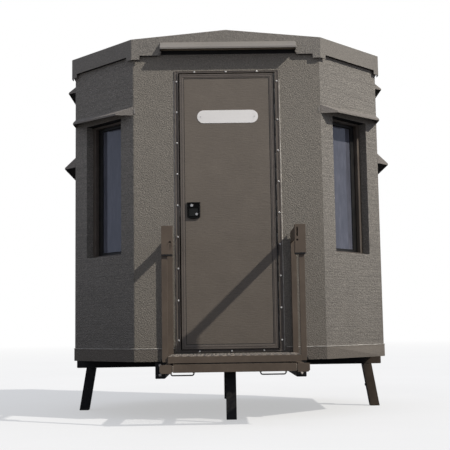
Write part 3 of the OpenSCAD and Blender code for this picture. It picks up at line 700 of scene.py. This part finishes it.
def door_bulb_seal():
    """Seal in the gap round the leaf, on the latch side and the top."""
    radius, gap, pocket_gap = 0.0012, 0.0045, 0.01
    y = FRONT_Y + 0.004
    left, right, bottom, top = DOOR
    x, z = left - gap, top + gap
    shells = Shells()
    shells.tube([(x, y, bottom), (x, y, POCKET_Z[0] - pocket_gap)], radius)
    shells.tube([(x, y, POCKET_Z[1] + pocket_gap), (x, y, z), (right - 0.002, y, z)], radius)
    piece("door_bulb_seal", shells, "cabin", "seal_rubber", smooth=True)


def trim_sealant():
    """Uneven sealant along both upright edges of the trim."""
    left, right, bottom, top = TRIM_OUTER
    gap, spacing, y = 0.0018, 0.007, FRONT_Y - 0.0006
    shells = Shells()
    for x, radius, seed in ((right + gap, 0.0036, 3), (left - gap, 0.0026, 4)):
        draw = random.Random(seed).uniform
        start, end = Vector((x, y, bottom + 0.004)), Vector((x, y, top - 0.062))
        count = max(2, int((end - start).length / spacing))
        points = [start.lerp(end, i / count)
                  + Vector((draw(-1, 1), 0, draw(-1, 1))) * radius * 0.20
                  for i in range(count)] + [end]
        shells.tube(points, [radius * draw(0.75, 1.15) for _ in points], sides=6)
    piece("trim_sealant", shells, "cabin", "sealant", smooth=True)


def door_rim():
    """Ribbed rim of the door leaf, mitred at the corners, and a black strip inside it that is
    painted shade for the rim's shadow line.
    """
    low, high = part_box("door_edge_frame")
    # u from the inner to the outer edge, height as a share of the rim's depth
    profile = [(0.0, 0.0), (0.0, 0.30), (0.03, 0.38), (0.22, 0.42), (0.26, 0.86), (0.29, 0.92),
               (0.52, 0.92), (0.55, 0.84), (0.56, 0.50), (0.66, 0.50), (0.67, 0.92),
               (0.70, 1.0), (0.96, 1.0), (1.0, 0.93), (1.0, 0.0)]
    profile = [(u, high.y + (low.y - high.y) * height) for u, height in profile]
    outer = (low.x, high.x, low.z, high.z)
    left_width, width = 0.0265, 0.028
    inner = (low.x + left_width, high.x - width, low.z + width, high.z - width)
    shells = Shells()
    shells.loft(frame_rings(profile, inner, outer), closed=True)
    piece("door_rim", shells, "door", "trim_brown", replaces="door_edge_frame", bevel=0.0004)

    # black strip inside the rim: painted shade for the shadow line the raised rim throws on the
    # panel
    back, front = DOOR_SKIN_Y + 0.0003, DOOR_SKIN_Y - 0.0008
    profile = [(0.0, back), (0.0, front), (1.0, front), (1.0, back)]
    shells = Shells()
    shells.loft(frame_rings(profile, shrunk(inner, 0.0030), inner), closed=True)
    piece("door_rim_shade_line", shells, "door", "seal_rubber")


def trim_screws():
    """Screws with a driven recess, round the door trim."""
    radius, height = 0.0062, 0.0066
    # distance from the seat as a share of the height, radius as a share of the head's
    profile = [(0, 0), (0, 1), (0.35, 1), (0.75, 0.86), (0.97, 0.52), (1, 0.42), (0.55, 0.30),
               (0.5, 0)]
    profile = [(height * h, radius * r) for h, r in profile]
    left_x, right_x = -0.321, 0.322
    places = []                      # x, z above the base
    for i in range(8):
        places += [(left_x, 0.377 + 0.2004 * i), (right_x, 0.124 + 0.200 * i)]
    places += [(left_x, 0.129), (right_x, 1.778)]
    for x in (-0.201, 0.0, 0.201):
        places += [(x - 0.005, 1.843), (x + 0.008, 0.061)]
    shells = Shells()
    for x, z in places:
        shells.lathe((x, FRONT_Y - 0.0029, BASE_Z + z), FORWARD, profile, sides=14)
    piece("trim_screw_heads", shells, "cabin", "screw_zinc", replaces="trim_screws")


# ------------------------------------------------------------------ rails and step loops
def rail_welds():
    post = 0.3835                    # inner face of the front post from DECK_X
    rear_y, front_y = FRONT_Y - 0.0475, DECK_FRONT + 0.0565
    box_z = RAIL_TOP - 0.1675        # underside of the rail's end box
    # start and end as (x from DECK_X, y, z), bead radius
    beads = (
        # flat bar to the rear post, to the end box, and along its lower edge
        ((0.3765, rear_y, RAIL_TOP - 0.070), (0.3765, rear_y, RAIL_TOP - 0.041), 0.0022),
        ((0.3765, front_y, RAIL_TOP - 0.069), (0.3765, front_y, RAIL_TOP - 0.003), 0.0022),
        ((0.3705, FRONT_Y - 0.044, RAIL_TOP - 0.0725),
         (0.3705, FRONT_Y - 0.017, RAIL_TOP - 0.0725), 0.0020),
        # front post under the end box
        ((post + 0.002, DECK_FRONT + 0.0435, box_z), (post + 0.031, DECK_FRONT + 0.0435, box_z),
         0.0024),
        ((post - 0.0006, DECK_FRONT + 0.013, box_z), (post - 0.0006, DECK_FRONT + 0.041, box_z),
         0.0022),
        # posts down on the deck frame
        ((post - 0.0004, DECK_FRONT + 0.013, BASE_Z + 0.0440),
         (post - 0.0004, DECK_FRONT + 0.041, BASE_Z + 0.0440), 0.0022),
        ((0.373, FRONT_Y - 0.0476, BASE_Z + 0.0435), (0.402, FRONT_Y - 0.0476, BASE_Z + 0.0435),
         0.0022),
    )
    for side, name, _, _ in RAILS:
        shells = Shells()
        for (x0, y0, z0), (x1, y1, z1), radius in beads:
            weld(shells, (DECK_X + side * x0, y0, z0), (DECK_X + side * x1, y1, z1), radius)
        piece("rail_welds_" + name, shells, "cabin", "brown_steel", smooth=True)


def step_loops():
    """Bent round bars hanging under the front of the deck."""
    bend, bar_radius = 0.012, 0.0040
    top = DECK_UNDER + 0.0002
    bottom = DECK_UNDER - 0.016
    angles = [math.pi / 2 * k / 6 for k in range(7)]
    shells = Shells()
    for start, end in LOOP_SPANS:
        x0, x1 = DECK_X + start, DECK_X + end
        points = [(x0, LOOP_Y, top)]
        points += [(x0 + bend - bend * math.cos(a), LOOP_Y, bottom + bend - bend * math.sin(a))
                   for a in angles]
        points += [(x1 - bend + bend * math.sin(a), LOOP_Y, bottom + bend - bend * math.cos(a))
                   for a in angles]
        points.append((x1, LOOP_Y, top))
        shells.tube(points, bar_radius, sides=12)
    piece("step_loops_bent", shells, "cabin", "dark_steel", smooth=True, replaces="step_loops")


def deck_welds():
    """Collars at the loop ends and upright beads on the front of the deck."""
    # distance below the deck, radius
    collar = [(0.0, 0.0), (0.0, 0.0062), (0.0008, 0.0066), (0.0022, 0.0050),
              (0.0034, 0.0041), (0.0036, 0.0)]
    shells = Shells()
    for span in LOOP_SPANS:
        for x in span:
            shells.lathe((DECK_X + x, LOOP_Y, DECK_UNDER), (0, 0, -1), collar, sides=14)
    y = DECK_FRONT + 0.0005
    for side in (-1, 1):
        for offset in (0.355, 0.4295):
            x = DECK_X + side * offset
            weld(shells, (x, y, DECK_UNDER + 0.004), (x, y, DECK_UNDER + 0.040), radius=0.0018)
    piece("deck_welds", shells, "cabin", "weld_bead", smooth=True)


def rail_box_shade_plugs():
    """Plastic plugs closing the open lower ends of the rail boxes; their black is painted shade
    for the dark underside of each box.
    """
    wall = 0.0012
    for side, name, inner, outer in RAILS:
        left, right = sorted((DECK_X + side * inner, DECK_X + side * outer))
        shells = Shells()
        shells.box((left + wall, right - wall), (DECK_FRONT - 0.0028, DECK_FRONT + 0.0548),
                   (RAIL_TOP - 0.1745, RAIL_TOP - 0.1672))
        piece("rail_box_shade_plug_" + name, shells, "cabin", "latch_black", bevel=0.0012)


# ------------------------------------------------------------------ roof edge and hoods
def roof_gap_shade_strip():
    """Black strip between roof skirt and walls, open above the door: painted shade for the shaded
    gap under the fascia.
    """
    gap = 0.0004
    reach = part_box("roof_cap")[1].x - HALF_X - 0.0056
    bottom, top = BASE_Z + 1.9505, BASE_Z + 1.962
    # face, start x, end x; None runs to the corner and is mitred there
    strips = [(face, None, None) for face in ("front_right", "right", "rear_right", "rear",
                                              "rear_left", "left", "front_left")]
    strips += [("front", None, -0.445), ("front", 0.470, None)]
    shells = Shells()
    for face, start, end in strips:
        half = FACE_HALF.get(face, CORNER * math.sqrt(2) / 2)
        rings = []
        for out in (gap, reach):
            x0 = (-half - out * HALF_MITRE if start is None else start) + gap
            x1 = (half + out * HALF_MITRE if end is None else end) - gap
            corners = ((x0, bottom), (x1, bottom), (x1, top), (x0, top))
            rings.append([FACES[face] @ Vector((x, -out, z)) for x, z in corners])
        shells.loft(rings)
    piece("roof_gap_shade_strip", shells, "cabin", "seal_rubber")


def hood_end_tabs():
    """Folded end tabs of the corner hoods, lapped on to the front wall."""
    middle_z = BASE_Z + 1.589
    # x outward from the tab's inner edge, z from its middle
    outline = ((0.0, -0.017), (0.0, 0.020), (0.0105, 0.017), (0.0105, -0.012))
    shells = Shells()
    for side in (-1, 1):
        x = side * (FRONT_HALF - 0.0125)
        shells.loft([[(x + side * u, y, middle_z + z) for u, z in outline]
                     for y in (FRONT_Y - 0.0004, FRONT_Y - 0.0022)])
    piece("hood_end_tabs", shells, "cabin", "canopy_sheet", bevel=0.0004)


def runner_bolts():
    """Plated bolts at the front ends of the runners: washer, hexagon and stud."""
    # distance forward, radius
    washer = [(0.0, 0.0), (0.0, 0.0092), (0.0010, 0.0095), (0.0017, 0.0090), (0.0017, 0.0)]
    hexagon = ((0.0016, 0.0084), (0.0066, 0.0084), (0.0078, 0.0072))
    stud = [(0.0, 0.0), (0.0, 0.0045), (0.0042, 0.0045), (0.0048, 0.0036), (0.0048, 0.0)]
    angles = [math.pi * k / 3 + 0.2 for k in range(6)]
    shells = Shells()
    for side in (-1, 1):
        for z in (BASE_Z - 0.024, BASE_Z - 0.083):
            x = side * RUNNER_X
            shells.lathe((x, FRONT_Y - 0.0008, z), FORWARD, washer, sides=24)
            shells.loft([[(x + r * math.cos(a), FRONT_Y - y - 0.0004, z + r * math.sin(a))
                          for a in angles] for y, r in hexagon])
            shells.lathe((x, FRONT_Y - 0.0078, z), FORWARD, stud, sides=14)
    piece("runner_bolts", shells, "cabin", "bolt_steel")


def skirt_top_bead():
    """Sealant on the top edge of the skirt, all round except behind the door trim."""
    out, trim_x, spacing, jitter = 0.0046, 0.347, 0.022, 0.0004
    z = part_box("base_skirt")[1].z - 0.0005
    corner = out * HALF_MITRE
    front_x, side_x = FRONT_HALF + corner, HALF_X + out
    side_y, end_y = SIDE_HALF + corner, HALF_Y + out
    route = [(trim_x, -end_y), (front_x, -end_y), (side_x, -side_y), (side_x, side_y),
             (front_x, end_y), (-front_x, end_y), (-side_x, side_y), (-side_x, -side_y),
             (-front_x, -end_y), (-trim_x, -end_y)]
    route = [Vector((x, CENTRE_Y + y, z)) for x, y in route]
    draw = random.Random(21).uniform
    points = []
    for a, b in zip(route, route[1:]):
        count = max(2, int((b - a).length / spacing))
        for i in range(count):
            rise = draw(-1, 1) * (jitter if i else 0.0)    # corners stay level
            points.append(a.lerp(b, i / count) + Vector((0, 0, rise)))
    points.append(route[-1])
    shells = Shells()
    shells.tube(points, [draw(0.0020, 0.0030) for _ in points])
    piece("skirt_top_bead", shells, "cabin", "sealant", smooth=True)


# ------------------------------------------------------------------ latch
def key_cylinder(name, body, x, y, z, radius):
    """Turned cylinder with a split plug: the gap between the halves is the keyway."""
    shells = Shells()
    # distance forward, radius
    profile = [(0.0, 0.0), (0.0, radius), (0.0016, radius), (0.0023, radius * 0.93),
               (0.0025, radius * 0.86), (0.0025, radius * 0.74), (0.0016, radius * 0.70),
               (0.0010, 0.0)]
    shells.lathe((x, y, z), FORWARD, profile, sides=28)
    plug = radius * 0.66
    half_keyway = 0.0007
    trim = math.asin(half_keyway / plug)
    angles = [-math.pi / 2 + trim + (math.pi - 2 * trim) * k / 12 for k in range(13)]
    for side in (-1, 1):
        shells.loft([[(x + side * plug * math.cos(a), front, z + plug * math.sin(a))
                      for a in angles] for front in (y - 0.0009, y - 0.0022)])
    piece(name, shells, body, "zinc_steel")


def latch():
    low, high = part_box("latch_housing")
    x = (low.x + high.x) / 2
    z = (BOLT_LOW.z + BOLT_HIGH.z) / 2
    paddle_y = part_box("latch_paddle")[0].y
    sunk = 0.0004
    key_cylinder("latch_key_cylinder_upper", "door", x - 0.012, low.y + sunk, z + 0.0315,
                 radius=0.0090)
    key_cylinder("latch_key_cylinder_lower", "paddle", x + 0.0185, paddle_y + sunk, z - 0.024,
                 radius=0.0082)
    # raised lip round the front of the housing
    inset, corner = 0.0042, 0.0090
    left, right, bottom, top = shrunk((low.x, high.x, low.z, high.z), inset + corner)
    points = []
    for cx, cz, start in ((right, top, 0), (left, top, 90), (left, bottom, 180),
                          (right, bottom, 270)):
        for k in range(7):
            a = math.radians(start + 15 * k)
            points.append((cx + corner * math.cos(a), low.y - 0.0002, cz + corner * math.sin(a)))
    points.append(points[0])
    shells = Shells()
    shells.tube(points, 0.0013)
    piece("latch_lip", shells, "door", "latch_grip", smooth=True)


# ------------------------------------------------------------------ canopy and stand
def canopy_cavity_shade_strip():
    """Dark strip in the fascia opening above the door: painted shade for the shaded cavity under
    the canopy.
    """
    low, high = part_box("door_canopy")
    start, end, spans = low.x + 0.006, high.x - 0.006, 12
    # y from the wall plane, z above the base
    section = ((-0.0045, 1.960), (-0.0005, 1.960), (-0.0005, 1.998), (-0.0085, 1.998),
               (-0.0060, 1.968))
    shells = Shells()
    shells.loft([[(start + (end - start) * i / spans, FRONT_Y + y, BASE_Z + z)
                  for y, z in section] for i in range(spans + 1)])
    piece("canopy_cavity_shade_strip", shells, "cabin", "seal_rubber")


def stand_welds():
    """Upright beads round the two runner posts and the middle of the stand."""
    runner_half, beam_half, radius = 0.0315, 0.0335, 0.004
    spots = []
    for s in (-1, 1):
        for q in (-1, 1):
            for r in (-1, 1):
                spots.append((s * (RUNNER_X + q * runner_half), CENTRE_Y + r * beam_half))
            spots.append((beam_half * q, CENTRE_Y + s * beam_half))
    shells = Shells()
    for x, y in spots:
        weld(shells, (x, y, BEAM_Z + 0.002), (x, y, BASE_Z - 0.004), radius)
    piece("stand_welds", shells, "cabin", "black_steel", smooth=True)


def beam_end_caps():
    beam_end, thick, half_y = 1.086, 0.0025, 0.031
    shells = Shells()
    for side in (-1, 1):
        x = side * beam_end
        shells.box(sorted((x, x + side * thick)), (CENTRE_Y - half_y, CENTRE_Y + half_y),
                   (BEAM_Z + 0.002, BASE_Z - 0.002))
    piece("beam_end_caps", shells, "cabin", "black_steel", bevel=0.001)


# ------------------------------------------------------------------ windows
# opening size, its border round the sash, and the sash's border round the pane;
# the low windows are drawn upright and turned on their side
TALL = dict(size=(0.360, 0.890), sash=(0.030, 0.014), pane=(0.035, 0.016))
LOW = dict(size=(0.295, 0.760), sash=(0.014, 0.030), pane=(0.016, 0.035))
# face, shape, mirrored
WINDOWS = (("front_left", TALL, False), ("front_right", TALL, True), ("rear_left", TALL, True),
           ("rear_right", TALL, False), ("left", LOW, False), ("right", LOW, False),
           ("rear", LOW, False))


def middle_z(node):
    low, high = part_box(node)
    return (low.z + high.z) / 2


def window_details(name, shape, place):
    width, height = shape["size"]
    sash = [size - 2 * border for size, border in zip(shape["size"], shape["sash"])]
    pane = [size - 2 * border for size, border in zip(sash, shape["pane"])]

    # glazing bead round the pane, outside and inside: y at the glass and away from it
    outer = centred_rect(pane[0] / 2 + 0.0001, pane[1] / 2 + 0.0001)
    shells = Shells()
    for near, far in ((0.0878, 0.0805), (0.0934, 0.0995)):
        profile = [(0.0, near), (1.0, near), (1.0, far), (0.55, far),
                   (0.1, near + (far - near) * 0.45)]
        shells.loft(frame_rings(profile, shrunk(outer, 0.006), outer, place), closed=True)
    piece("glazing_bead_" + name, shells, "window_" + name + "_leaf", "seal_rubber")

    # five screws up each side of the frame, inside
    x, z = (width + 0.030) / 2, (height + 0.030) / 2
    axis = place.to_3x3() @ Vector((0, 1, 0))
    # distance inward, radius
    head = [(0, 0), (0, 0.004), (0.001, 0.0038), (0.002, 0.0022), (0.0012, 0.0012), (0.0011, 0)]
    shells = Shells()
    for side in (-1, 1):
        for k in range(5):
            origin = place @ Vector((side * x, 0.064, -z + 2 * z * (k + 0.5) / 5))
            shells.lathe(origin, axis, head, sides=10)
    piece("frame_screws_" + name, shells, "cabin", "zinc_steel")

    # thin seal round the sash
    inner = centred_rect(sash[0] / 2 + 0.001, sash[1] / 2 + 0.001)
    outer = grown(inner, sides=0.006, bottom=0.006, top=0.006)
    profile = [(0.0, 0.0802), (0.0, 0.0806), (1.0, 0.0806), (1.0, 0.0802)]
    shells = Shells()
    shells.loft(frame_rings(profile, inner, outer, place), closed=True)
    piece("window_seal_" + name, shells, "cabin", "seal_rubber")


def windows():
    tall_z, low_z = middle_z("sash_front_left"), middle_z("glass_left")
    for name, shape, mirrored in WINDOWS:
        if shape is LOW:
            place = (FACES[name] @ Matrix.Translation((0, 0, low_z))
                     @ Matrix.Rotation(math.radians(-90), 4, "Y"))
        else:
            place = FACES[name] @ Matrix.Translation((0, 0, tall_z))
        if mirrored:
            place = place @ Matrix.Scale(-1, 4, (1, 0, 0))
        window_details(name, shape, place)


# ------------------------------------------------------------------ stage, light, camera
def stage_floor():
    """Pale floor that fades to white far away and throws little light on the cabin."""
    half = 60
    mesh = bpy.data.meshes.new("floor")
    mesh.from_pydata([(-half, -half, 0), (half, -half, 0), (half, half, 0), (-half, half, 0)],
                     [], [(0, 1, 2, 3)])
    obj = bpy.data.objects.new("floor", mesh)
    bpy.context.scene.collection.objects.link(obj)
    t = Shader("pale_floor")
    to_camera = t.node("LightPath").outputs["Is Camera Ray"]
    distance = t.node("VectorMath", {0: t.coords}, operation="LENGTH").outputs["Value"]
    # light bounced off the floor: dark close to the cabin, paler further out
    bounce = t.mix(t.remap(distance, source=(2.0, 6.5)),
                   (0.033, 0.030, 0.029, 1), (0.29, 0.277, 0.277, 1))
    seen = t.ramp(t.noise(scale=0.8, detail=3, rough=0.5),
                  {0.3: linear((238, 238, 237)), 0.7: linear((243, 243, 242))})
    t.finish(t.mix(to_camera, bounce, seen), rough=0.9, spec=0.0)
    glow = t.mix(t.remap(distance, source=(6.0, 30.0)), (0.86, 0.86, 0.86, 1), (1, 1, 1, 1))
    emission = t.node("Emission", {0: glow})
    share = t.remap(distance, source=(4.0, 26.0), to=(0.55, 1.0))
    share = t.math("MULTIPLY", to_camera, share)
    t.surface(t.mix_shader(share, t.principled, emission))
    mesh.materials.append(t.material)


def studio_world():
    """Cool light from all round; the camera sees plain white."""
    world = bpy.data.worlds.new("studio")
    bpy.context.scene.world = world
    world.use_nodes = True
    tree = world.node_tree
    output = next(n for n in tree.nodes if n.type == "OUTPUT_WORLD")
    direction = add_node(tree, "TexCoord").outputs["Generated"]
    height = add_node(tree, "SeparateXYZ", {0: direction}).outputs[2]
    sky = add_node(tree, "ValToRGB", {0: height})
    low, high = sky.color_ramp.elements
    low.position, low.color = 0.0, (0.395, 0.430, 0.515, 1)
    high.position, high.color = 1.0, (0.450, 0.478, 0.548, 1)
    light = tree.nodes["Background"]
    set_inputs(light, {0: sky.outputs[0], 1: 1.0})
    white = add_node(tree, "Background", {"Color": (1, 1, 1, 1), "Strength": 1.0})
    to_camera = add_node(tree, "LightPath").outputs["Is Camera Ray"]
    mixed = add_node(tree, "MixShader", {0: to_camera, 1: light.outputs[0], 2: white.outputs[0]})
    set_inputs(output, {0: mixed.outputs[0]})


def key_light():
    sun = bpy.data.lights.new("key", "SUN")
    sun.energy = 3.3
    sun.angle = math.radians(1.2)
    sun.color = (1.0, 0.96, 0.905)
    obj = bpy.data.objects.new("key", sun)
    bpy.context.scene.collection.objects.link(obj)
    toward_sun = Vector((1.6, -1.0, 1.55)).normalized()
    obj.rotation_euler = toward_sun.to_track_quat("Z", "Y").to_euler()


def camera():
    """Low in front of the door, looking slightly up."""
    position = Vector((-0.080, FRONT_Y - 5.8674, BASE_Z + 0.2001))
    yaw, pitch, roll = math.radians(0.556), math.radians(6.32), math.radians(-0.894)
    data = bpy.data.cameras.new("camera")
    data.sensor_width = 36.0
    data.lens = 74.632
    data.clip_end = 200
    obj = bpy.data.objects.new("camera", data)
    bpy.context.scene.collection.objects.link(obj)
    forward = Vector((math.sin(yaw) * math.cos(pitch), math.cos(yaw) * math.cos(pitch),
                      math.sin(pitch)))
    level = Vector((math.cos(yaw), -math.sin(yaw), 0))
    upright = level.cross(forward)
    right = level * math.cos(roll) + upright * math.sin(roll)
    up = -level * math.sin(roll) + upright * math.cos(roll)
    matrix = Matrix.Identity(4)
    for column, vector in enumerate((right, up, -forward, position)):
        for row in range(3):
            matrix[row][column] = vector[row]
    obj.matrix_world = matrix
    bpy.context.scene.camera = obj


# ------------------------------------------------------------------ build
# The order matters: the welds share one random generator.
for build in (deck_mesh, door_trim, door_jamb, door_bulb_seal, trim_sealant, door_rim,
              trim_screws, rail_welds, step_loops, deck_welds, rail_box_shade_plugs,
              roof_gap_shade_strip, hood_end_tabs, runner_bolts, skirt_top_bead, latch,
              canopy_cavity_shade_strip, stand_welds, beam_end_caps, windows,
              stage_floor, studio_world, key_light, camera):
    build()
bpy.context.scene.view_settings.view_transform = "Standard"
bpy.context.scene.view_settings.look = "None"
